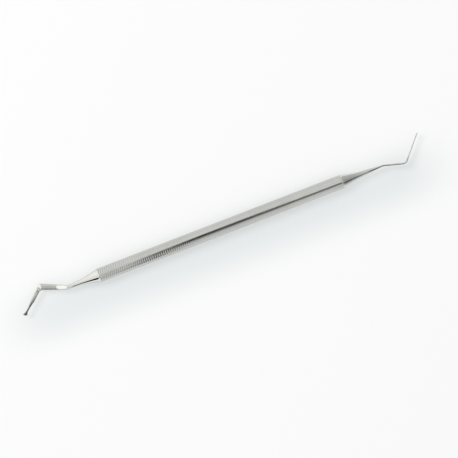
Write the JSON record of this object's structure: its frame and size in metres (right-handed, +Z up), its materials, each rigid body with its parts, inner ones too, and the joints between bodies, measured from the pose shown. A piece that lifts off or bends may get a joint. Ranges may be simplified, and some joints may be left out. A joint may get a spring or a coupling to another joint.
{
  "type": "dental filling spatula",
  "caption": "One-piece steel filling spatula: octagonal cross-grooved handle, turned necks, and an angled thin blade at each end, set at right angles to each other.",
  "frame": {"origin": "middle of the handle's lower smooth face, on the surface that it rests on", "axes": "+X along the handle towards the blade that stands on its edge, +Z up, away from the resting face"},
  "size_m": [0.1722, 0.0121, 0.0056],
  "materials": {
    "polished_steel": "polished stainless steel with fine wear"
  },
  "bodies": {
    "root": {"spatula": "polished_steel"}
  },
  "joints": []
}
